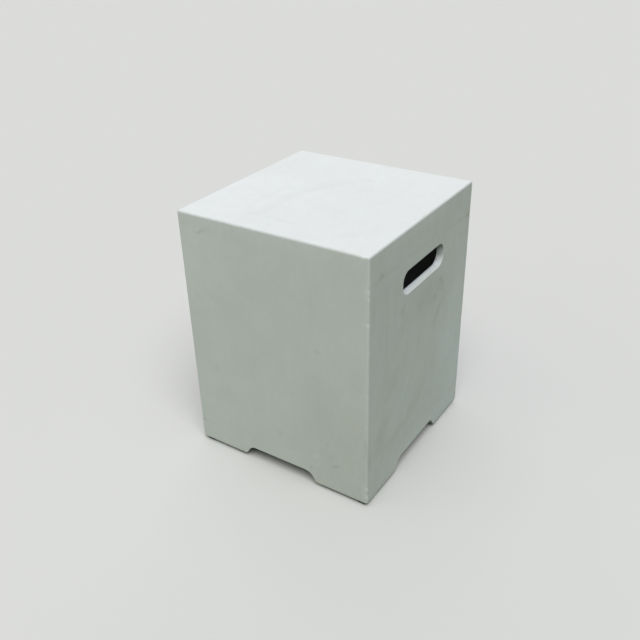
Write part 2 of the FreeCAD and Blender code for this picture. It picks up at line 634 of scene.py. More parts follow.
@dataclass(frozen=True)
class StainOrPaintedLight:
    """A soft patch, darker or paler than what is round it, in millimetres: a stain in the concrete, or
    painted light or shade.

    Attributes:
        along: Distance of its middle to the right of the face's upper left corner.
        down: Distance of its middle below that corner.
        length: How long it is.
        width: How wide it is.
        turn: How far its long side is turned clockwise from level, in degrees.
        strength: Share of the light that it adds, or takes if negative.
        core: Share of its reach over which it keeps its full strength.
    """

    along: float
    down: float
    length: float
    width: float
    turn: float
    strength: float
    core: ClassVar[float] = 0.15

    def tone(self, spot: Signal) -> Signal:
        """What the patch adds to the tone of the concrete.

        Args:
            spot: The place on the face, (along, down, 0).

        Returns:
            The share of the light that it adds there.
        """
        turn = math.radians(self.turn)
        away = spot - (self.along, self.down, 0.0)
        lengthwise = Vector((math.cos(turn), math.sin(turn), 0.0)) * 2.0 / self.length
        crosswise = Vector((-math.sin(turn), math.cos(turn), 0.0)) * 2.0 / self.width
        local = spot.bench.join(away.dot(lengthwise), away.dot(crosswise))
        return local.length().ramp(self.core, 1.0, self.strength, 0.0)


@dataclass(frozen=True)
class Stroke(StainOrPaintedLight):
    """A curved band, which the patch's outline limits.

    Attributes:
        radius: Radius of the curve, in millimetres.
        centre_along: Middle of the curve, measured as the patch's is.
        centre_down: Middle of the curve, measured as the patch's is.
        inner: How softly the band fades towards the curve's middle.
        outer: How softly it fades away from it.
    """

    radius: float = 100.0
    centre_along: float = 0.0
    centre_down: float = 0.0
    inner: float = 6.0
    outer: float = 6.0

    def tone(self, spot: Signal) -> Signal:
        """What the band adds to the tone of the concrete.

        Args:
            spot: The place on the face, (along, down, 0).

        Returns:
            The share of the light that it adds there.
        """
        away = spot.distance((self.centre_along, self.centre_down, 0.0))
        inside = away.ramp(self.radius - self.inner, self.radius)
        outside = away.ramp(self.radius, self.radius + self.outer, 1.0, 0.0)
        return super().tone(spot) * (inside * outside)


# Soft patches of each face: stains in the concrete, and broad patches of painted light and shade that
# make a face paler or darker towards one side.
STAINS_AND_PAINTED_LIGHT: dict[Face, tuple[StainOrPaintedLight, ...]] = {
    Face.FRONT: (
        StainOrPaintedLight(52, 31, 28, 9, -22, -0.145),
        StainOrPaintedLight(62, 24, 34, 10, -12, -0.040),
        StainOrPaintedLight(72, 24, 60, 28, 4, -0.025),
        StainOrPaintedLight(130, 12, 9, 7, 0, -0.08),
        StainOrPaintedLight(107, 24, 8, 6, 0, -0.05),
        StainOrPaintedLight(297, 205, 24, 13, -10, -0.065),
        StainOrPaintedLight(153, 277, 16, 28, 0, -0.035),
        StainOrPaintedLight(57, 322, 30, 34, 30, -0.030),
        StainOrPaintedLight(74, 373, 70, 54, 0, -0.035),
        StainOrPaintedLight(205, 425, 24, 30, 0, -0.050),
        StainOrPaintedLight(331, 449, 36, 14, -20, -0.090),
        StainOrPaintedLight(322, 432, 24, 20, 0, -0.030),
        StainOrPaintedLight(275, 478, 11, 20, 0, -0.085),
        StainOrPaintedLight(68, 438, 24, 9, -50, 0.030),
        StainOrPaintedLight(4, 467, 20, 9, 4, -0.16),
        StainOrPaintedLight(30, 469, 90, 8, 4, -0.030),
        StainOrPaintedLight(373, 245, 50, 90, 0, -0.035),
        StainOrPaintedLight(396, 380, 14, 70, 0, -0.050),
        StainOrPaintedLight(352, 44, 120, 70, 0, -0.030),
        StainOrPaintedLight(350, 292, 34, 40, 20, 0.020),
        StainOrPaintedLight(392, 118, 16, 40, 0, 0.025),
        StainOrPaintedLight(393, 60, 14, 60, 0, 0.035),
        StainOrPaintedLight(390, 256, 18, 40, 0, 0.030),
        StainOrPaintedLight(392, 480, 18, 60, 0, 0.035),
        StainOrPaintedLight(289, 442, 20, 16, 0, 0.050),
        StainOrPaintedLight(200, 12, 400, 44, 0, 0.030),
        # Painted light and shade: the front is lit paler towards its upper left and shaded darker
        # towards its lower right.
        StainOrPaintedLight(20, 40, 300, 340, 0, 0.055),
        StainOrPaintedLight(370, 440, 440, 560, 0, -0.075),
    ),
    Face.RIGHT: (
        StainOrPaintedLight(41, 48, 24, 20, 0, -0.125),
        StainOrPaintedLight(60, 53, 150, 12, 2, -0.050),
        StainOrPaintedLight(170, 54, 240, 9, 2.5, -0.035),
        StainOrPaintedLight(340, 63, 150, 10, 4, -0.050),
        StainOrPaintedLight(391, 66, 46, 14, 8, -0.125),
        StainOrPaintedLight(205, 160, 240, 120, 8, -0.045),
        StainOrPaintedLight(122, 152, 26, 34, 0, -0.075),
        StainOrPaintedLight(122, 190, 24, 80, 0, -0.025),
        StainOrPaintedLight(188, 176, 60, 52, 0, -0.030),
        StainOrPaintedLight(252, 183, 20, 20, 0, -0.075),
        StainOrPaintedLight(242, 162, 110, 86, 10, -0.035),
        Stroke(279, 174, 70, 50, 60, -0.070, radius=62, centre_along=228, centre_down=196,
               inner=16, outer=12),
        Stroke(281, 158, 44, 30, 45, -0.090, radius=84, centre_along=214, centre_down=212,
               inner=3, outer=4),
        Stroke(278, 222, 110, 50, -48, -0.075, radius=96, centre_along=340, centre_down=288,
               inner=15, outer=13),
        StainOrPaintedLight(196, 232, 40, 100, 0, -0.030),
        StainOrPaintedLight(63, 170, 16, 200, 0, -0.035),
        StainOrPaintedLight(18, 110, 16, 100, 0, -0.035),
        StainOrPaintedLight(93, 290, 120, 60, -55, -0.040),
        StainOrPaintedLight(52, 380, 110, 68, -58, -0.065),
        StainOrPaintedLight(6, 405, 26, 90, 0, -0.060),
        Stroke(110, 405, 260, 74, -8, -0.070, radius=150, centre_along=95, centre_down=278,
               inner=28, outer=13),
        Stroke(178, 385, 90, 44, -32, -0.050, radius=118, centre_along=110, centre_down=288,
               inner=11, outer=8),
        Stroke(206, 385, 110, 46, -45, -0.050, radius=140, centre_along=104, centre_down=288,
               inner=16, outer=10),
        StainOrPaintedLight(52, 500, 10, 10, 0, -0.10),
        StainOrPaintedLight(303, 461, 28, 22, 0, -0.055),
        StainOrPaintedLight(365, 468, 16, 22, 0, -0.12),
        StainOrPaintedLight(262, 410, 36, 32, 0, -0.030),
        # Painted light: the right face is paler along its foot.
        StainOrPaintedLight(200, 486, 460, 84, 0, 0.055),
        StainOrPaintedLight(325, 320, 110, 150, 10, 0.040),
        StainOrPaintedLight(200, 10, 400, 30, 0, 0.030),
        # Painted light: the right face is paler towards its right end.
        StainOrPaintedLight(410, 380, 360, 700, 0, 0.085),
    ),
    Face.TOP: (
        Stroke(172, 205, 360, 200, -66, -0.036, radius=223, centre_along=367, centre_down=274,
               inner=7, outer=32),
        StainOrPaintedLight(230, 98, 34, 32, 0, -0.032),
        StainOrPaintedLight(136, 345, 44, 130, 4, -0.022),
        Stroke(104, 262, 210, 50, 88, -0.026, radius=240, centre_along=340, centre_down=280,
               inner=8, outer=12),
        StainOrPaintedLight(111, 320, 18, 18, 0, -0.030),
        StainOrPaintedLight(122, 345, 36, 14, 28, -0.030),
        StainOrPaintedLight(180, 344, 170, 15, 0, -0.020),
        StainOrPaintedLight(330, 342, 38, 26, -30, -0.014),
        StainOrPaintedLight(358, 303, 36, 34, 0, -0.011),
        Stroke(312, 352, 190, 70, -38, -0.012, radius=154, centre_along=220, centre_down=234,
               inner=14, outer=10),
        StainOrPaintedLight(308, 120, 20, 280, 0, -0.014),
        StainOrPaintedLight(237, 155, 20, 140, 4, -0.010),
        StainOrPaintedLight(62, 212, 10, 30, -28, -0.018),
        StainOrPaintedLight(397, 180, 14, 130, 0, -0.040),
        StainOrPaintedLight(235, 270, 120, 110, 20, -0.015),
        # Painted light: the top is paler towards its front left.
        StainOrPaintedLight(0, 330, 420, 560, 0, 0.026),
    ),
}


@dataclass(frozen=True)
class CastConcrete:
    """Light grey glass-fibre concrete, smooth and sealed outside, rough inside and darker there, partly
    as rough concrete and partly as painted shade.

    Attributes:
        shell: The casting, whose sizes say where its hollow, its slots and its edges are.
        finish: The bench for its material.
        pale: Colour of the palest paste, slightly blue.
        middle: Colour of the paste.
        dark: Colour of wet-looking or rich patches, slightly olive.
        inside: How light the rough inside is, as a share of the outside; its darkness is partly rough
            concrete and partly painted shade of the hollow.
        patchy: How much that share goes up and down from place to place.
        patches: The noise that it goes by.
        hollow_shade_tint: The cooler hue of the unsealed inside, as a share of each channel, painted as
            the cool cast of the hollow's shade.
        span: Share of the light by which the palest and the darkest paste differ from the middle one.
        clouds: (grain, share of the light) of each layer of clouds in the paste.
        calm: How strong the clouds are on the top, which was cast against the floor of the mould.
        warmth: Share by which the paste turns to brown or to blue from place to place.
        warm_top: How much of that the top keeps.
        warm: The noise that it goes by.
        streak: Share of the light in the upright streaks on the walls.
        streaks: Their noise.
        flow: Share of the light in the wavy flow marks on the right face.
        flows: Their noise.
        bend_from: The height below which the flow marks bend towards the front, in metres.
        bend: How fast they bend, in metres for each square metre of fall.
        fleck: Share of the light that the pale flecks add.
        flecks: Their noise, and between which of its values they come up.
        flecked: The noise of where there are flecks, and between which of its values they come up.
        worn: Share of the light that wear adds along the edges.
        edge_shade: Share of the light taken off the rounding of the top's front and right edges, as
            painted shade.
        edge_shade_reach: From how far in from those edges the painted shade fades, and where it ends.
        edge_shade_drop: How much faster it fades down the faces than across the top.
        sill_light: Share of the light that is painted on the sills of the hand slots, making them paler
            as if brightly lit.
        sill_light_in: How far in on the sill the painted light starts, and where it is strongest.
        sill_light_past: How far past the wall it starts to end, and where it has ended.
        sill_light_side: How far past the slot's ends it fades.
        sill_light_down: How far below the sill it starts, and where it is whole.
        sill_light_up: How far above the sill it starts to fade, and where it has gone.
        near: (bend size, reach) of the wandering of the clouds.
        far: (bend size, reach) of the wandering of the flow marks.
        outline: (bend size, reach) of the wandering of the outlines of the stains and of the painted
            light and shade.
        broken: The noise that breaks the stains and the painted light and shade up, and how strong they
            are at its two ends.
        face_fade: How far in from a face its own marks have gone, and how far in they are still whole.
        side_fade: The same for the flow marks.
        hollow_noise: The noise of the rough hollow's edge.
        hollow_wander: How far that edge wanders.
        hollow_fades: How softly the hollow's looks begin at the walls, at the ceiling and at the rim.
        dull: The noise of the surface's roughness, and its values at the two ends.
        usual: Between which values most noise lies.
        shine: How strongly it mirrors.
        skin: (grain, share) of each layer of its fine relief.
        skin_depth: How deep that relief is.
    """

    shell: "ConcreteShell"
    finish: Finish = field(default_factory=lambda: Finish("cast_concrete"))
    pale: Colour = (0.694, 0.742, 0.778, 1.0)
    middle: Colour = (0.557, 0.579, 0.583, 1.0)
    dark: Colour = (0.424, 0.427, 0.390, 1.0)
    inside: float = 0.70
    patchy: float = 0.12
    patches: Grain = Grain(0.024, 5.0, 0.6)
    hollow_shade_tint: Triple = (1.03, 1.0, 1.10)
    span: float = 0.25
    clouds: tuple[tuple[Grain, float], ...] = (
        (Grain(0.110, 3.0, 0.55), 0.045), (Grain(0.035, 3.0, 0.55), 0.028),
        (Grain(0.011, 3.0, 0.55), 0.022), (Grain(0.0024, 3.0, 0.55), 0.050),
    )
    calm: float = 0.75
    warmth: float = 0.026
    warm_top: float = 0.5
    warm: Grain = Grain(0.075)
    streak: float = 0.016
    streaks: Grain = Grain(0.018, 3.0, stretch=(1.0, 1.0, 9.0))
    flow: float = 0.050
    flows: Grain = Grain(0.022, 3.0, stretch=(1.0, 1.0, 8.0))
    bend_from: float = 0.29
    bend: float = 2.6
    fleck: float = 0.040
    flecks: tuple[Grain, float, float] = (Grain(0.007, 2.0, 0.6), 0.56, 0.76)
    flecked: tuple[Grain, float, float] = (Grain(0.130, 1.0), 0.42, 0.66)
    worn: float = 0.10
    edge_shade: float = 0.20
    edge_shade_reach: Pair = (0.9 * MM, 4.6 * MM)
    edge_shade_drop: float = 1.4
    sill_light: float = 0.24
    sill_light_in: Pair = (MM, 10.0 * MM)
    sill_light_past: Pair = (0.2 * MM, MM)
    sill_light_side: float = MM
    sill_light_down: Pair = (3.0 * MM, 2.0 * MM)
    sill_light_up: Pair = (2.0 * MM, 10.0 * MM)
    near: Pair = (0.030, 0.010)
    far: Pair = (0.120, 0.050)
    outline: Pair = (0.030, 0.004)
    broken: tuple[Grain, float, float] = (Grain(0.009, 3.0, 0.6), 0.75, 1.25)
    face_fade: Pair = (4.0 * MM, 1.0 * MM)
    side_fade: Pair = (2.0 * MM, 1.0 * MM)
    hollow_noise: Grain = Grain(0.012, 3.0)
    hollow_wander: float = 1.1 * MM
    hollow_fades: Triple = (0.3 * MM, 0.5 * MM, 0.8 * MM)
    dull: tuple[Grain, float, float] = (Grain(0.014, 3.0), 0.62, 0.80)
    usual: Pair = (0.25, 0.75)
    shine: float = 0.38
    skin: tuple[tuple[Grain, float], ...] = ((Grain(0.0016, 3.0, 0.65), 0.55), (Grain(0.009), 0.45))
    skin_depth: float = 0.17 * MM

    def hollow(self) -> Signal:
        """Tells the rough hollow from the smooth outside, with an uneven edge between them.

        Returns:
            1 in the hollow and 0 outside.
        """
        across, deep, high = self.finish.position.parts()
        at_wall, at_ceiling, at_rim = self.hollow_fades
        wander = self.finish.grain(self.hollow_noise).swing(self.hollow_wander)
        drawn = (high - self.shell.rim) * self.shell.slope
        within = []
        for place, half in ((across, self.shell.half_x), (deep, self.shell.half_y)):
            limit = half - self.shell.wall_at_rim + self.shell.rough_past_wall
            reach = abs(place) + drawn + wander
            within.append(reach.ramp(limit - at_wall, limit + at_wall, 1.0, 0.0))
        under = self.shell.ceiling + self.shell.rough_past_wall
        below_top = high.ramp(under, under + at_ceiling, 1.0, 0.0)
        above = self.shell.rim + self.shell.rim_ease
        above_rim = (high + wander).ramp(above, above + at_rim)
        return within[0] * within[1] * (below_top * above_rim)

    def wandering(self, size: float, reach: float) -> Signal:
        """The place, pushed about by bends of a size and a reach, for uneven outlines."""
        push = self.finish.grain(Grain(size, 3.0), colour=True).swing(reach)
        return self.finish.position + push

    def marks_on(self, face: Face, place: Signal) -> Signal:
        """What the stains and the painted light and shade of one face add to the tone.

        Args:
            face: The face.
            place: The place, pushed about for uneven outlines.

        Returns:
            The share of the light that they add, 0 on the other faces.
        """
        corner = face.place(0.0, 0.0)
        away = place - corner
        spot = self.finish.join(away.dot(face.right / MM), away.dot(face.below / MM))
        marks = 0.0
        for stain_or_light in STAINS_AND_PAINTED_LIGHT[face]:
            marks = marks + stain_or_light.tone(spot)
        out = (self.finish.position - corner).dot(face.outward)
        gone, whole = self.face_fade
        return marks * out.ramp(-gone, -whole)

    def shaded_top_edges(self) -> Signal:
        """Finds the rounding of the top's front and right edges, where shade is painted.

        Returns:
            1 on the rounding, fading out on both sides of it to 0.
        """
        across, deep, high = self.finish.position.parts()
        inwards = (self.shell.half_x - across).least(self.shell.half_y + deep)
        downwards = (self.shell.top - high) * self.edge_shade_drop
        return inwards.most(downwards).ramp(*self.edge_shade_reach, 1.0, 0.0)

    def dust_and_sill_light(self) -> Signal:
        """Finds the sills of the hand slots, where light is painted.

        Returns:
            1 where the painted light is strongest, at the back of the sills, and 0 off them.
        """
        across, deep, high = self.finish.position.parts()
        behind = self.shell.half_x - abs(across)
        length, height = self.shell.slot_size
        sill = self.shell.top - self.shell.slot_below_top - height / 2.0
        ends, ended = (self.shell.wall_at_top + past for past in self.sill_light_past)
        starts, whole = (sill - down for down in self.sill_light_down)
        fades, gone = (sill + up for up in self.sill_light_up)
        thick = behind.share(*self.sill_light_in) * behind.ramp(ends, ended, 1.0, 0.0)
        thick = thick * abs(deep).ramp(length / 2.0, length / 2.0 + self.sill_light_side, 1.0, 0.0)
        return thick * high.ramp(starts, whole) * high.ramp(fades, gone, 1.0, 0.0)

    def on_top(self, share: float) -> Signal:
        """The share on the top, and 1 elsewhere."""
        gone, whole = (self.shell.top - depth for depth in self.face_fade)
        return self.finish.position.parts()[2].ramp(gone, whole, 1.0, share)

    def flow_marks(self) -> Signal:
        """The wavy flow marks on the right face, which bend towards the front in its lower half.

        Returns:
            What they add to the tone, 0 on the other faces.
        """
        across, _, high = self.finish.position.parts()
        gone, whole = (self.shell.half_x - depth for depth in self.side_fade)
        on_right = across.ramp(gone, whole)
        fallen = (self.bend_from - high).most(0.0)
        bent = self.wandering(*self.far) + self.finish.join(0.0, fallen * fallen * self.bend, 0.0)
        return on_right * self.finish.grain(self.flows, bent).swing(self.flow)

    def tone(self) -> Signal:
        """How much paler or darker than the plain paste the concrete is.

        Returns:
            The share of the light by which it differs, about 0.
        """
        near = self.wandering(*self.near)
        cloudy = self.finish.grain(self.streaks).swing(self.streak) + self.flow_marks()
        for grain, share in self.clouds:
            cloudy = cloudy + self.finish.grain(grain, near).swing(share)
        (flecks, *fleck_span), (flecked, *flecked_span) = self.flecks, self.flecked
        some = self.finish.grain(flecked).ramp(*flecked_span)
        cloudy = cloudy + some * self.finish.grain(flecks).ramp(*fleck_span, 0.0, self.fleck)
        cloudy = cloudy * self.on_top(self.calm)
        outline = self.wandering(*self.outline)
        front, right, top = (self.marks_on(face, outline) for face in STAINS_AND_PAINTED_LIGHT)
        breaks, *strengths = self.broken
        broken = self.finish.grain(breaks).ramp(*self.usual, *strengths)
        return cloudy + (front + right + top) * broken

    def make(self) -> Material:
        """The finish of the casting.

        Returns:
            The material.
        """
        layer = self.finish.node("ShaderNodeAttribute", attribute_name=self.shell.worn_layer)
        tone = self.tone() + Signal(self.finish, layer.outputs["Fac"]) * self.worn
        # Painted light: the sills of the hand slots are made paler, as if more brightly lit.
        tone = tone + self.dust_and_sill_light() * self.sill_light
        richer = self.finish.blend(tone.share(0.0, -self.span), self.middle, self.dark)
        plain = self.finish.blend(tone.share(0.0, self.span), richer, self.pale)
        warm = self.finish.grain(self.warm).swing(self.warmth) * self.on_top(self.warm_top)
        hue = self.finish.join(1.0 + warm, 1.0, 1.0 - warm)
        # Painted shade: the rounding of the top's front and right edges is darkened as if it were in
        # shade.
        bare = plain * hue * (1.0 - self.shaded_top_edges() * self.edge_shade)
        # Painted shade: the hollow is darker and cooler than the outside, partly as rough concrete and
        # partly as the shade that fills it.
        rough = bare * (self.inside + self.finish.grain(self.patches).swing(self.patchy)) * self.hollow_shade_tint
        self.finish.give("Base Color", self.finish.blend(self.hollow(), bare, rough))
        dull, *roughness = self.dull
        self.finish.give("Roughness", self.finish.grain(dull).ramp(*self.usual, *roughness))
        self.finish.give("Specular IOR Level", self.shine)
        fine, coarse = (self.finish.grain(grain) * share for grain, share in self.skin)
        self.finish.relief(fine + coarse, self.skin_depth)
        return self.finish.material


@dataclass(frozen=True)
class MouldedRubber:
    """Black moulded rubber with a fine pebbled skin and dust in its grain.

    Attributes:
        black: Its colour.
        dusty: Its colour where dust sits in it.
        dust_and_sill_light: The noise of the dust, and between which of its values it comes up.
        dull: The noise of the roughness, between which of its values it changes, and its two ends.
        shine: How strongly it mirrors.
        pebbles: The noise of its skin.
        pebble_depth: How deep the skin's relief is.
    """

    black: Colour = (0.018, 0.018, 0.019, 1.0)
    dusty: Colour = (0.060, 0.058, 0.054, 1.0)
    dust_and_sill_light: tuple[Grain, float, float] = (Grain(0.0045, 4.0, 0.6), 0.45, 0.80)
    dull: tuple[Grain, float, float, float, float] = (Grain(0.003), 0.3, 0.7, 0.62, 0.85)
    shine: float = 0.35
    pebbles: Grain = Grain(0.0007, 2.0, 0.6)
    pebble_depth: float = 0.12 * MM

    def make(self) -> Material:
        """The finish of the pads.

        Returns:
            The material.
        """
        finish = Finish("moulded_rubber")
        (dust_and_sill_light, *dust_span), (dull, *roughness) = self.dust_and_sill_light, self.dull
        dusted = finish.grain(dust_and_sill_light).ramp(*dust_span)
        finish.give("Base Color", finish.blend(dusted, self.black, self.dusty))
        finish.give("Roughness", finish.grain(dull).ramp(*roughness))
        finish.give("Specular IOR Level", self.shine)
        finish.relief(finish.grain(self.pebbles), self.pebble_depth)
        return finish.material


@dataclass(frozen=True)
class PlainMetal:
    """Metal in the state that it leaves the tool in: satin, with fine marks and a little tarnish.

    Attributes:
        name: Name of the finish.
        bright: Its colour where it is clean.
        tarnished: Its colour where it is tarnished.
        dull: Its roughness where it is smoothest, and where it is roughest.
        marks: The noise of its fine marks.
        mark_span: Between which values of that noise the roughness changes.
        mark_depth: How deep the marks are.
        spots: The noise of the tarnish, and between which of its values it comes up.
    """

    name: str
    bright: Colour
    tarnished: Colour
    dull: Pair
    marks: Grain
    mark_span: Pair = (0.2, 0.8)
    mark_depth: float = 0.03 * MM
    spots: tuple[Grain, float, float] = (Grain(0.0035, 4.0, 0.6), 0.50, 0.85)

    def make(self) -> Material:
        """The finish of a fastener.

        Returns:
            The material.
        """
        finish = Finish(self.name)
        spots, *spot_span = self.spots
        tarnish = finish.grain(spots).ramp(*spot_span)
        finish.give("Base Color", finish.blend(tarnish, self.bright, self.tarnished))
        fine = finish.grain(self.marks)
        finish.give("Roughness", fine.ramp(*self.mark_span, *self.dull))
        finish.give("Metallic", 1.0)
        finish.relief(fine, self.mark_depth)
        return finish.material


STAINLESS = PlainMetal(
    "satin_stainless", bright=(0.56, 0.57, 0.58, 1.0), tarnished=(0.36, 0.35, 0.34, 1.0),
    dull=(0.30, 0.50), marks=Grain(0.0005, stretch=(6.0, 1.0, 1.0)),
)
BRASS = PlainMetal(
    "turned_brass", bright=(0.72, 0.53, 0.25, 1.0), tarnished=(0.38, 0.27, 0.14, 1.0),
    dull=(0.28, 0.48), marks=Grain(0.0005, stretch=(1.0, 1.0, 0.3)),
)


@dataclass(frozen=True)
class Chip:
    """A small place where an edge of the casting is knocked off, in millimetres.

    Attributes:
        face: A face that the edge belongs to.
        along: Where it is on that face, to the right of its upper left corner.
        down: Where it is on that face, below that corner.
        reach: How far it reaches from its middle.
        depth: How deep it is at its middle.
    """

    face: Face
    along: float
    down: float
    reach: float
    depth: float


CHIPS = (
    Chip(Face.TOP, 388, 399, 6.0, 0.9),
    Chip(Face.FRONT, 399, 58, 6.0, 0.6),
    Chip(Face.FRONT, 399, 72, 4.0, 0.5),
    Chip(Face.FRONT, 399, 119, 7.0, 0.8),
    Chip(Face.FRONT, 399, 262, 5.0, 0.5),
    Chip(Face.FRONT, 399, 473, 6.0, 0.7),
    Chip(Face.FRONT, 399, 492, 8.0, 0.9),
    Chip(Face.RIGHT, 399, 300, 6.0, 0.6),
    Chip(Face.BACK, 399, 210, 6.0, 0.7),
    Chip(Face.LEFT, 399, 440, 7.0, 0.8),
    Chip(Face.BACK, 150, 1, 5.0, 0.6),
    Chip(Face.LEFT, 240, 1, 5.0, 0.6),
)


@dataclass(frozen=True)
class Wear:
    """How a casting's surface departs from its true form, always inwards.

    Attributes:
        skin: How far in from the outer faces the surface still belongs to the outside.
        wave: (width, depth) of the waves in the outer faces.
        nibble: (width, depth) of the nibbles in the outer edges.
        nibble_from: How strong that noise is where a nibble begins.
        bumps: (width, depth) of each layer of the rough hollow's bumps.
        bumps_past_wall: How far past the wall they begin.
        bumps_above_rim: How far above the rim they begin.
    """

    skin: float = 2.0 * MM
    wave: Pair = (0.085, 0.16 * MM)
    nibble: Pair = (0.006, 0.45 * MM)
    nibble_from: float = 0.20
    bumps: tuple[Pair, ...] = ((0.028, 0.45 * MM), (0.011, 0.25 * MM))
    bumps_past_wall: float = 0.5 * MM
    bumps_above_rim: float = 30.0 * MM

    def outside(self, point: Vector, on_edge: bool, chips: list[tuple[Vector, Chip]]) -> Pair:
        """How the wear shows at a point of the outside.

        Args:
            point: The point.
            on_edge: Whether it is on the rounding of an edge.
            chips: (middle, chip) of every chip.

        Returns:
            How deep the point sinks, and how worn it is, from 0 to 1.
        """
        width, depth = self.wave
        sink = depth * (0.5 + 0.5 * noise.noise(point / width))
        worn = 0.0
        if on_edge:
            width, depth = self.nibble
            worn = max(0.0, noise.noise(point / width) - self.nibble_from)
            sink += depth * worn
        for middle, chip in chips:
            share = 1.0 - (point - middle).length / (chip.reach * MM)
            if share > 0.0:
                sink += chip.depth * MM * share
                worn += share
        return sink, min(1.0, worn)

    def inside(self, point: Vector) -> float:
        """How deep a point of the rough hollow sinks."""
        return sum(depth * noise.noise(point / width) for width, depth in self.bumps)


@dataclass(frozen=True)
class Pinholes:
    """The small holes that air bubbles leave against the mould.

    Attributes:
        known: (face, along, down) of the ones that are in known places, in millimetres.
        each: How many more there are on every face.
        span: Between which distances from a face's corner those lie, in millimetres.
        radii: Radius of the smallest and of the largest one, in millimetres.
        steps: (share of the radius inwards, share of it down) of each step of a hole's wall.
        flat: How nearly alike the normals round a point are where the surface is flat.
        seed: Start of the random draws.
    """

    known: tuple[tuple[Face, float, float], ...] = (
        (Face.FRONT, 130, 12), (Face.FRONT, 107, 24), (Face.RIGHT, 52, 500), (Face.RIGHT, 365, 468),
    )
    each: int = 9
    span: Pair = (15, 385)
    radii: Pair = (0.45, 0.95)
    steps: tuple[Pair, ...] = ((0.18, 0.25), (0.30, 0.75), (0.25, 0.35))
    flat: float = 0.999
    seed: int = 41

    def prick(self, work: Workpiece, near: float) -> None:
        """Sinks them all.

        Args:
            work: The worn casting.
            near: How far a hole may move to a point of the surface.
        """
        rng = random.Random(self.seed)
        spots = [face.place(along * MM, down * MM) for face, along, down in self.known]
        for face in Face:
            for _ in range(self.each):
                spots.append(face.place(rng.uniform(*self.span) * MM, rng.uniform(*self.span) * MM))
        for spot in spots:
            close = [vert for vert in work.bm.verts if (vert.co - spot).length < near]
            flat = [vert for vert in close if len(vert.link_edges) == 4 and self.is_flat(vert)]
            if flat:
                chosen = min(flat, key=lambda vert: (vert.co - spot).length)
                self.sink(work, chosen, rng.uniform(*self.radii) * MM)

    def is_flat(self, vert: bmesh.types.BMVert) -> bool:
        """Whether the faces round a vertex lie in one plane, or nearly."""
        return all(face.normal.dot(vert.normal) > self.flat for face in vert.link_faces)

    def sink(self, work: Workpiece, vert: bmesh.types.BMVert, radius: float) -> None:
        """Sinks one pinhole.

        Args:
            work: The worn casting.
            vert: The vertex in its middle.
            radius: Its radius.
        """
        made = bmesh.ops.bevel(
            work.bm, geom=[vert], offset=radius, offset_type="OFFSET", segments=2, profile=0.5,
            affect="VERTICES", material=-1,
        )
        mouth = max(made["faces"], key=lambda face: len(face.verts))
        for share, depth in self.steps:
            bmesh.ops.inset_individual(
                work.bm, faces=[mouth], thickness=radius * share, depth=-radius * depth,
                use_even_offset=True,
            )


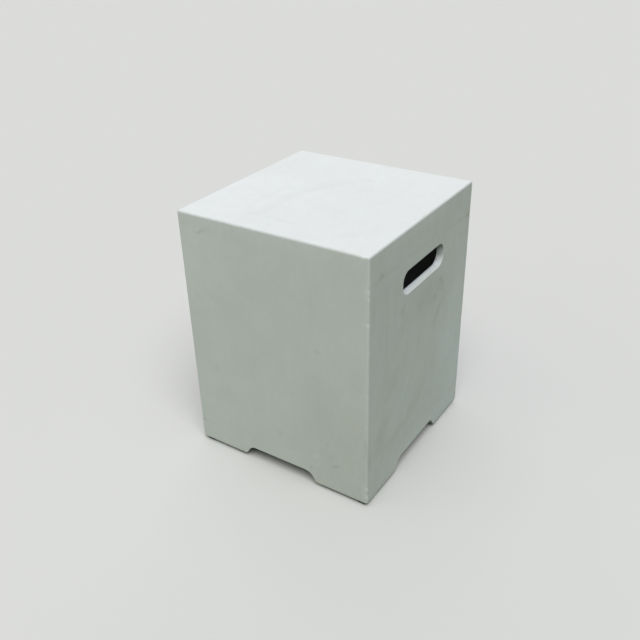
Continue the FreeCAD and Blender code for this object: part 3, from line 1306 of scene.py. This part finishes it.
@dataclass
class ConcreteShell:
    """The casting: four walls and a top in one, with hand slots, base notches and four feet.

    Its sizes are the construction's. Flats are how many flats stand for a round, the lean and the
    crease are in degrees, and points of the surface lie a cell apart, or an edge_cell along the outer
    edges.
    """

    name: str = "cast_shell"
    node: str = CASTING
    slot: str = "concrete"
    wall_at_top: float = 15.5 * MM
    wall_at_rim: float = 13.5 * MM
    top_thickness: float = 20.0 * MM
    upright_round: float = 4.0 * MM
    upright_flats: int = 5
    top_round: float = 3.0 * MM
    top_flats: int = 4
    cove_at_rim: float = 40.0 * MM
    cove_flats: int = 14
    ceiling_cove: float = 14.0 * MM
    ceiling_flats: int = 8
    rim_ease: float = 1.6 * MM
    rim_flats: int = 2
    rim_crease: float = 40.0
    slot_size: Pair = (161.0 * MM, 46.0 * MM)
    slot_corner: float = 20.0 * MM
    slot_flats: int = 10
    slot_below_top: float = 102.5 * MM
    slot_lip: float = 1.2 * MM
    lip_flats: int = 5
    notch_size: Pair = (170.0 * MM, 21.5 * MM)
    notch_lean: float = 32.0
    notch_corner: float = 18.0 * MM
    notch_flats: int = 8
    toe_round: float = 6.0 * MM
    overcut: float = 5.0 * MM
    rough_past_wall: float = 0.7 * MM
    cell: float = 8.0 * MM
    edge_cell: float = 2.5 * MM
    sharp: float = 50.0
    wear: Wear = Wear()
    pinholes: Pinholes = Pinholes()
    low: Vector = field(init=False)
    high: Vector = field(init=False)
    worn_layer: ClassVar[str] = "worn"

    def __post_init__(self) -> None:
        """Takes the overall size from the construction."""
        self.low, self.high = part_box(self.node)

    @property
    def half_x(self) -> float:
        """Half the size across X."""
        return self.high.x

    @property
    def half_y(self) -> float:
        """Half the size across Y."""
        return self.high.y

    @property
    def rim(self) -> float:
        """Height of the rim."""
        return self.low.z

    @property
    def top(self) -> float:
        """Height of the table top."""
        return self.high.z

    @property
    def ceiling(self) -> float:
        """Height of the underside of the top."""
        return self.top - self.top_thickness

    @property
    def slope(self) -> float:
        """How much thicker the walls get for each metre of height."""
        return (self.wall_at_top - self.wall_at_rim) / (self.ceiling - self.rim)

    def depth(self, point: Vector) -> float:
        """How far a point lies in from the nearest of the four outer faces."""
        return min(self.half_x - abs(point.x), self.half_y - abs(point.y))

    def outer_block(self) -> Workpiece:
        """Makes the casting before it is hollowed, with its outer edges rounded.

        Returns:
            The block.
        """
        work = Workpiece.block(self.low, self.high)
        work.ease(work.standing(self.cell), self.upright_round, self.upright_flats)
        work.ease(work.above(self.top - MM), self.top_round, self.top_flats)
        return work

    def core(self) -> Workpiece:
        """Makes the hollow, which narrows upwards so that the mould's core draws out.

        Returns:
            The core, a little longer than the hollow at its open end.
        """
        wide = Vector((self.half_x - self.wall_at_rim, self.half_y - self.wall_at_rim, self.ceiling))
        work = Workpiece.block(Vector((-wide.x, -wide.y, self.rim - self.overcut)), wide)
        work.ease(work.standing(self.cell), self.cove_at_rim, self.cove_flats)
        for vert in work.bm.verts:
            middle_x = max(min(vert.co.x, wide.x - self.cove_at_rim), self.cove_at_rim - wide.x)
            middle_y = max(min(vert.co.y, wide.y - self.cove_at_rim), self.cove_at_rim - wide.y)
            outward = Vector((vert.co.x - middle_x, vert.co.y - middle_y, 0.0)).normalized()
            vert.co -= outward * self.slope * (vert.co.z - self.rim)
        work.ease(work.above(self.ceiling - MM), self.ceiling_cove, self.ceiling_flats)
        return work

    def notch_bar(self, along: Axis) -> Workpiece:
        """Makes the bar that cuts the base notches in two opposite walls.

        Args:
            along: The axis that both walls stand across.

        Returns:
            The bar, longer than the casting.
        """
        width, height = self.notch_size
        half = (self.half_x if along is Axis.X else self.half_y) + self.overcut
        bottom = width / 2.0
        top = bottom - height * math.tan(math.radians(self.notch_lean))
        beyond = bottom + 2.0 * self.toe_round
        right = [
            (beyond, self.rim - self.overcut, 0.0),
            (beyond, self.rim, 0.0),
            (bottom, self.rim, self.toe_round),
            (top, self.rim + height, self.notch_corner),
        ]
        left = [(-place, level, radius) for place, level, radius in right]
        corners = [left[0], *right, *reversed(left[1:])]
        return Workpiece.flared_bar(corners, along, [(-half, 0.0), (half, 0.0)], self.notch_flats)

    def slot_bar(self) -> Workpiece:
        """Makes the bar that cuts both hand slots, flared where it breaks out of each wall.

        Returns:
            The bar, longer than the casting.
        """
        half_length, half_height = (size / 2.0 + self.slot_lip for size in self.slot_size)
        middle = self.top - self.slot_below_top
        mouth = self.slot_corner + self.slot_lip
        signs = ((-1, -1), (1, -1), (1, 1), (-1, 1))
        corners = [(side * half_length, middle + up * half_height, mouth) for side, up in signs]
        inner = self.half_x - self.wall_at_top
        one_side = [(self.half_x + self.overcut, 0.0)]
        for step in range(self.lip_flats + 1):
            turn = math.radians(90.0 * step / self.lip_flats)
            place = self.half_x - self.slot_lip * (1.0 - math.cos(turn))
            one_side.append((place, -self.slot_lip * math.sin(turn)))
        one_side.append((inner + self.rim_ease, -self.slot_lip))
        one_side.append((inner, self.rim_ease - self.slot_lip))
        one_side.append((inner - self.overcut, self.rim_ease - self.slot_lip))
        stations = [(-place, grown) for place, grown in one_side] + one_side[::-1]
        return Workpiece.flared_bar(corners, Axis.X, stations, self.slot_flats)

    def on_rim(self, edge: bmesh.types.BMEdge) -> bool:
        """Whether an edge belongs to the outline of the rim, round every foot and notch.

        Args:
            edge: An edge of the casting.

        Returns:
            True if it does.
        """
        highest = self.rim + self.notch_size[1] + HAIR
        turns = edge.calc_face_angle(0.0) >= math.radians(self.rim_crease)
        if max(vert.co.z for vert in edge.verts) > highest or not turns:
            return False
        depths = [self.depth(vert.co) for vert in edge.verts]
        return max(depths) < self.upright_round or min(depths) > self.wall_at_rim - MM

    def cast(self) -> Workpiece:
        """Casts the true form, before its surface is given any wear.

        Returns:
            The casting.
        """
        work = self.outer_block()
        work.cut(self.core())
        for along in (Axis.X, Axis.Y):
            work.cut(self.notch_bar(along))
        work.ease(work.edges_where(self.on_rim), self.rim_ease, self.rim_flats)
        work.cut(self.slot_bar())
        for corner in Corner:
            insert = f"foot_insert_{corner.value}"
            low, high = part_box(insert)
            foot = on_axis(insert, self.rim - self.overcut)
            reach = (high.x - low.x) / 2.0
            work.cut(Workpiece.round_bar(foot, (reach, reach), high.z - foot.z, HEXAGON))
        return work

    def places(self, axis: Axis, step: float) -> list[float]:
        """The places that divide the casting along an axis.

        Args:
            axis: The axis.
            step: About how far apart they are.

        Returns:
            The places on the axis, without the casting's ends.
        """
        low, high = self.low[axis.value], self.high[axis.value]
        count = max(1, round((high - low) / step))
        return [low + (high - low) * index / count for index in range(1, count)]

    def along_edge(self, face: bmesh.types.BMFace, axis: Axis) -> bool:
        """Whether a face belongs to an outer rounded edge.

        Args:
            face: The face.
            axis: The axis that the edge has to run along.

        Returns:
            True if it does.
        """
        middle = face.calc_center_median()
        near = [
            self.half_x - abs(middle.x) < self.upright_round,
            self.half_y - abs(middle.y) < self.upright_round,
            self.top - middle.z < self.top_round,
        ]
        return sum(near) == 2 and not near[axis.value]

    def lay_cells(self, work: Workpiece) -> None:
        """Divides the surface into cells, small ones along the outer edges.

        Args:
            work: The casting.
        """
        for axis in Axis:
            strips = [face for face in work.bm.faces if self.along_edge(face, axis)]
            work.slice(axis, self.places(axis, self.edge_cell), strips)
        for axis in Axis:
            work.slice(axis, self.places(axis, self.cell), work.bm.faces[:])

    def weather(self, work: Workpiece) -> None:
        """Makes the surface as uneven as a casting's, and marks where it is worn.

        Args:
            work: The casting, divided into cells.
        """
        layer = work.bm.verts.layers.float.new(self.worn_layer)
        work.bm.normal_update()
        chips = [(chip.face.place(chip.along * MM, chip.down * MM), chip) for chip in CHIPS]
        bumpy_past = self.wall_at_rim + self.wear.bumps_past_wall
        bumpy_above = self.rim + self.wear.bumps_above_rim
        moves = []
        for vert in work.bm.verts:
            point = vert.co
            depths = (self.half_x - abs(point.x), self.half_y - abs(point.y), self.top - point.z)
            nearest, second, _ = sorted(depths)
            sink = 0.0
            if nearest < self.wear.skin:
                sink, vert[layer] = self.wear.outside(point, second < self.upright_round, chips)
            elif self.depth(point) > bumpy_past and point.z > bumpy_above:
                sink = self.wear.inside(point)
            moves.append((vert, vert.normal * -sink))
        for vert, move in moves:
            vert.co += move

    def build(self) -> Object:
        """Casts the shell, wears its surface and dresses it in concrete.

        Returns:
            The piece.
        """
        work = self.cast()
        self.lay_cells(work)
        self.weather(work)
        self.pinholes.prick(work, self.cell)
        piece = work.finish(self.name, CastConcrete(self).make(), self.sharp)
        return dress(piece, self.node, self.slot)


@dataclass
class FootHardware:
    """What holds one foot off the ground: rubber pad, plate washer, bolt and cast-in insert.

    The ridge of the thread is given by its crest's start, its crest's end and its own end, as shares of
    the pitch. Flats and sides are how many flats stand for a round.
    """

    corner: Corner
    rubber: Material
    steel: Material
    brass: Material
    pad_round: float = 4.0 * MM
    pad_flats: int = 8
    pad_floor_ease: float = 1.2 * MM
    pad_floor_flats: int = 3
    pad_top_ease: float = 0.3 * MM
    pad_top_flats: int = 2
    recess_clearance: float = 0.5 * MM
    recess_round: float = 0.5 * MM
    recess_flats: int = 3
    washer_round: float = 0.8 * MM
    washer_flats: int = 4
    washer_ease: float = 0.15 * MM
    washer_ease_flats: int = 2
    thread: float = 2.5 * MM
    thread_depth: float = 0.45 * MM
    thread_sunk: float = 0.1 * MM
    pitch: float = 0.8 * MM
    ridge: Triple = (0.30, 0.42, 0.72)
    run_out: float = 0.2 * MM
    point: float = 0.6 * MM
    chamfer: float = 30.0
    chamfer_reach: float = 0.97
    hole_clearance: float = 0.25 * MM
    bore_clearance: float = 0.05 * MM
    insert_bore: float = 14.0 * MM
    insert_mouth: float = 0.5 * MM
    overcut: float = MM
    round_sides: int = 32
    crown_sides: int = 48

    def box(self, kind: str) -> tuple[Vector, Vector]:
        """Lowest and highest corner of a node of this foot."""
        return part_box(f"{kind}_{self.corner.value}")

    def middle(self, height: float) -> Vector:
        """The point at a height on the bolt's axis."""
        return on_axis(f"foot_pad_{self.corner.value}", height)

    def rod(self, foot: float, height: float, radius: float, end: Optional[float] = None) -> Workpiece:
        """A round rod on the bolt's axis, from its foot's height up, that may end in another radius."""
        radii = (radius, radius if end is None else end)
        return Workpiece.round_bar(self.middle(foot), radii, height, self.round_sides)

    def build(self) -> list[Object]:
        """Makes the four pieces of this foot."""
        return [self.pad(), self.washer(), self.bolt(), self.insert()]

    def dressed(self, work: Workpiece, kind: str, slot: str, finish: Material) -> Object:
        """Ends a piece of this foot and puts it in the place of its kind's node."""
        piece = work.finish(f"{kind}_part_{self.corner.value}", finish)
        return dress(piece, f"{kind}_{self.corner.value}", slot)

    def pad(self) -> Object:
        """Makes the square rubber pad, with the recess for the washer and the bolt's head.

        Returns:
            The piece.
        """
        low, high = self.box("foot_pad")
        washer_low, washer_high = self.box("pad_washer")
        work = Workpiece.block(low, high)
        work.ease(work.standing(), self.pad_round, self.pad_flats)
        floor = work.edges_where(lambda edge: max(vert.co.z for vert in edge.verts) < low.z + HAIR)
        work.ease(floor, self.pad_floor_ease, self.pad_floor_flats)
        work.ease(work.above(high.z - HAIR), self.pad_top_ease, self.pad_top_flats)
        clear = Vector((self.recess_clearance, self.recess_clearance, 0.0))
        recess_low = Vector((washer_low.x, washer_low.y, low.z - self.overcut)) - clear
        recess = Workpiece.block(recess_low, washer_high + clear)
        recess.ease(recess.standing(), self.recess_round, self.recess_flats)
        work.cut(recess)
        work.cut(self.rod(0.0, high.z + self.overcut, self.thread + self.hole_clearance))
        return self.dressed(work, "foot_pad", "pad_rubber", self.rubber)

    def washer(self) -> Object:
        """Makes the square plate washer, pressed from sheet.

        Returns:
            The piece.
        """
        low, high = self.box("pad_washer")
        work = Workpiece.block(low, high)
        work.ease(work.standing((high.z - low.z) / 2.0), self.washer_round, self.washer_flats)
        level = work.edges_where(lambda edge: abs(edge.verts[0].co.z - edge.verts[1].co.z) < HAIR)
        work.ease(level, self.washer_ease, self.washer_ease_flats)
        through = high.z - low.z + 2.0 * self.overcut
        work.cut(self.rod(low.z - self.overcut, through, self.thread + self.hole_clearance))
        return self.dressed(work, "pad_washer", "bolt_steel", self.steel)

    def bolt(self) -> Object:
        """Makes the hexagon-head bolt, head down, with its rolled thread.

        Returns:
            The piece.
        """
        low, high = self.box("pad_bolt")
        seat = self.box("pad_washer")[0].z
        head_height = seat - low.z
        reach = (high.x - low.x) / 2.0
        work = Workpiece.round_bar(self.middle(low.z), (reach, reach), head_height, HEXAGON)
        flats = reach * math.cos(math.pi / HEXAGON)
        slope = head_height / math.tan(math.radians(self.chamfer))
        radii = (flats * self.chamfer_reach, flats * self.chamfer_reach + slope)
        work.trim_to(Workpiece.round_bar(self.middle(low.z), radii, head_height, self.crown_sides))
        root = self.thread - self.thread_depth
        shoulder = high.z - self.point
        shank = self.rod(seat - self.overcut, high.z - seat + self.overcut - self.point, root)
        sunk = self.thread_sunk
        shank.join(self.rod(shoulder - sunk, self.point + sunk, root, root - self.point))
        shank.join(self.helix(seat + self.run_out, shoulder - self.pitch))
        work.join(shank)
        return self.dressed(work, "pad_bolt", "bolt_steel", self.steel)

    def helix(self, low: float, high: float) -> Workpiece:
        """The ridge of the bolt's thread.

        Args:
            low: Height at which the ridge starts.
            high: Height at which it ends.

        Returns:
            The closed ridge, its root sunk a little into the shank.
        """
        work = Workpiece()
        axis = self.middle(low)
        sunk = self.thread - self.thread_depth - self.thread_sunk
        lower, upper, end = self.ridge
        profile = ((sunk, 0.0), (self.thread, lower), (self.thread, upper), (sunk, end))
        points = [axis + Vector((radius, 0.0, share * self.pitch)) for radius, share in profile]
        ring = [work.bm.verts.new(point) for point in points]
        start = work.bm.faces.new(ring)
        turns = (high - low) / self.pitch
        steps = round(turns * self.round_sides)
        bmesh.ops.spin(
            work.bm, geom=[start, *start.edges, *start.verts], cent=axis, axis=(0.0, 0.0, 1.0),
            dvec=(0.0, 0.0, (high - low) / steps), angle=math.tau * turns, steps=steps,
            use_merge=False, use_normal_flip=False, use_duplicate=False,
        )
        open_ends = work.edges_where(lambda edge: edge.is_boundary)
        bmesh.ops.holes_fill(work.bm, edges=open_ends, sides=4)
        bmesh.ops.recalc_face_normals(work.bm, faces=work.bm.faces[:])
        return work

    def insert(self) -> Object:
        """Makes the hexagonal brass insert, cast in flush with the foot, with a blind bore.

        Returns:
            The piece.
        """
        low, high = self.box("foot_insert")
        reach = (high.x - low.x) / 2.0
        work = Workpiece.round_bar(self.middle(low.z), (reach, reach), high.z - low.z, HEXAGON)
        bore = self.thread + self.bore_clearance
        work.cut(self.rod(low.z - self.overcut, self.insert_bore + self.overcut, bore))
        mouth = self.insert_mouth
        work.cut(self.rod(low.z - mouth, 2.0 * mouth, bore + 2.0 * mouth, bore))
        return self.dressed(work, "foot_insert", "insert_brass", self.brass)


@dataclass(frozen=True)
class StudioFloor:
    """A plain pale floor that keeps the table's shadow and throws little light back up.

    Attributes:
        size: Length of its sides, in metres.
        seen: Its colour where it is looked at, straight or in a reflection.
        near: Its colour for the light that it throws on the table from close by.
        far: Its colour for the light that it throws from further off.
        turning: Between which distances from the middle near turns into far, in metres.
    """

    size: float = 60.0
    seen: Colour = (0.52, 0.525, 0.52, 1.0)
    near: Colour = (0.055, 0.12, 0.034, 1.0)
    far: Colour = (0.074, 0.12, 0.040, 1.0)
    turning: Pair = (0.5, 2.0)

    def build(self) -> Object:
        """Lays the floor.

        Returns:
            The floor, which belongs to the stage and not to the table.
        """
        work = Workpiece()
        bmesh.ops.create_grid(work.bm, x_segments=1, y_segments=1, size=self.size / 2.0)
        finish = Finish("studio_floor")
        thrown = finish.blend(finish.position.length().ramp(*self.turning), self.near, self.far)
        finish.give("Base Color", finish.blend(finish.looked_at(), thrown, self.seen))
        finish.give("Roughness", 1.0)
        finish.give("Specular IOR Level", 0.0)
        floor = work.finish("studio_floor", finish.material)
        return floor


@dataclass(frozen=True)
class SoftLamp:
    """A broad distant lamp, as soft as a bright stretch of cloud.

    Attributes:
        name: Its name.
        towards: The direction in which it lies, seen from the table.
        spread: How wide it looks from the table, in degrees.
        power: The light that it sheds on a surface that faces it, in watts per square metre.
        colour: Its colour.
        hung: How far off it hangs, in metres, which changes nothing about its light.
    """

    name: str
    towards: Triple
    spread: float
    power: float
    colour: Triple
    hung: float = 3.0

    def build(self) -> Object:
        """Hangs the lamp and turns it to the table.

        Returns:
            The lamp.
        """
        data = bpy.data.lights.new(self.name, "SUN")
        data.angle = math.radians(self.spread)
        data.energy = self.power
        data.color = self.colour
        lamp = bpy.data.objects.new(self.name, data)
        away = Vector(self.towards)
        lamp.location = away.normalized() * self.hung
        lamp.rotation_euler = (-away).to_track_quat("-Z", "Y").to_euler()
        bpy.context.scene.collection.objects.link(lamp)
        return lamp


LAMPS = (
    SoftLamp("lamp_above", (0.0, 0.0, 1.0), 60.0, 0.76, (0.925, 0.978, 0.995)),
    SoftLamp("lamp_behind_camera", (0.399, -0.456, 1.0), 40.0, 2.56, (1.0, 1.0, 0.980)),
    SoftLamp("lamp_left", (-0.238, -0.34, 0.25), 70.0, 0.56, (1.0, 0.98, 0.84)),
    SoftLamp("lamp_behind_table", (-0.55, 0.70, 0.35), 70.0, 0.80, (1.0, 0.88, 0.99)),
)


@dataclass
class Studio:
    """The camera at the photograph's viewing angle, the floor, the lamps and the sky.

    Attributes:
        lens: Focal length of the camera, in millimetres.
        sensor: Width of its picture, in millimetres.
        sees_to: How far it sees, in metres.
        azimuth: How far the camera stands round to the right of the front, in degrees.
        elevation: How far it looks down, in degrees.
        roll: How far it leans, in degrees.
        distance: How far it stands from its aim.
        aim: The point that it looks at.
        sky: Strength of the even light from all round.
        sky_colour: Colour of that light.
        backdrop: The colour that is seen past the edge of the floor, straight or in a reflection.
    """

    lens: float = 42.63
    sensor: float = 36.0
    sees_to: float = 200.0
    azimuth: float = 33.788
    elevation: float = 30.126
    roll: float = -1.531
    distance: float = 1.5288
    aim: Vector = field(default_factory=lambda: Vector((-0.0122, -0.0252, 0.26)))
    sky: float = 0.25
    sky_colour: Colour = (0.985, 1.0, 1.01, 1.0)
    backdrop: Colour = (0.72, 0.727, 0.72, 1.0)

    def camera(self) -> Object:
        """Sets the camera up.

        Returns:
            The camera.
        """
        turn, lift, lean = (math.radians(angle) for angle in (self.azimuth, self.elevation, self.roll))
        back = Vector((
            math.sin(turn) * math.cos(lift), -math.cos(turn) * math.cos(lift), math.sin(lift)
        ))
        data = bpy.data.cameras.new("photo_camera")
        data.lens = self.lens
        data.sensor_width = self.sensor
        data.clip_end = self.sees_to
        camera = bpy.data.objects.new("photo_camera", data)
        upright = (-back).to_track_quat("-Z", "Y").to_matrix().to_4x4()
        leaning = upright @ Matrix.Rotation(lean, 4, "Z")
        camera.matrix_world = Matrix.Translation(self.aim + back * self.distance) @ leaning
        bpy.context.scene.collection.objects.link(camera)
        bpy.context.scene.camera = camera
        return camera

    def light(self) -> None:
        """Hangs the lamps and lights the sky."""
        for lamp in LAMPS:
            lamp.build()
        world = bpy.data.worlds.new("soft_sky")
        world.use_nodes = True
        bench = NodeBench(world.node_tree)
        sky, shown = bench.tree.nodes["Background"], bench.tree.nodes["World Output"]
        bench.put(sky.inputs["Color"], self.sky_colour)
        bench.put(sky.inputs["Strength"], self.sky)
        backdrop = bench.node("ShaderNodeBackground")
        bench.put(backdrop.inputs["Color"], self.backdrop)
        mix = bench.node("ShaderNodeMixShader")
        bench.put(mix.inputs[0], bench.looked_at())
        bench.put(mix.inputs[1], Signal(bench, sky.outputs[0]))
        bench.put(mix.inputs[2], Signal(bench, backdrop.outputs[0]))
        bench.put(shown.inputs["Surface"], Signal(bench, mix.outputs[0]))
        bpy.context.scene.world = world

    def build(self) -> None:
        """Sets up everything that the table is looked at with."""
        StudioFloor().build()
        self.camera()
        self.light()
        bpy.context.scene.view_settings.view_transform = "Standard"


def main() -> None:
    """Builds the table piece by piece, and the studio round it."""
    logging.basicConfig(level=logging.INFO, format="%(name)s: %(message)s")
    ConcreteShell().build()
    rubber, steel, brass = MouldedRubber().make(), STAINLESS.make(), BRASS.make()
    for corner in Corner:
        FootHardware(corner, rubber, steel, brass).build()
    Studio().build()


if __name__ == "__main__":
    main()
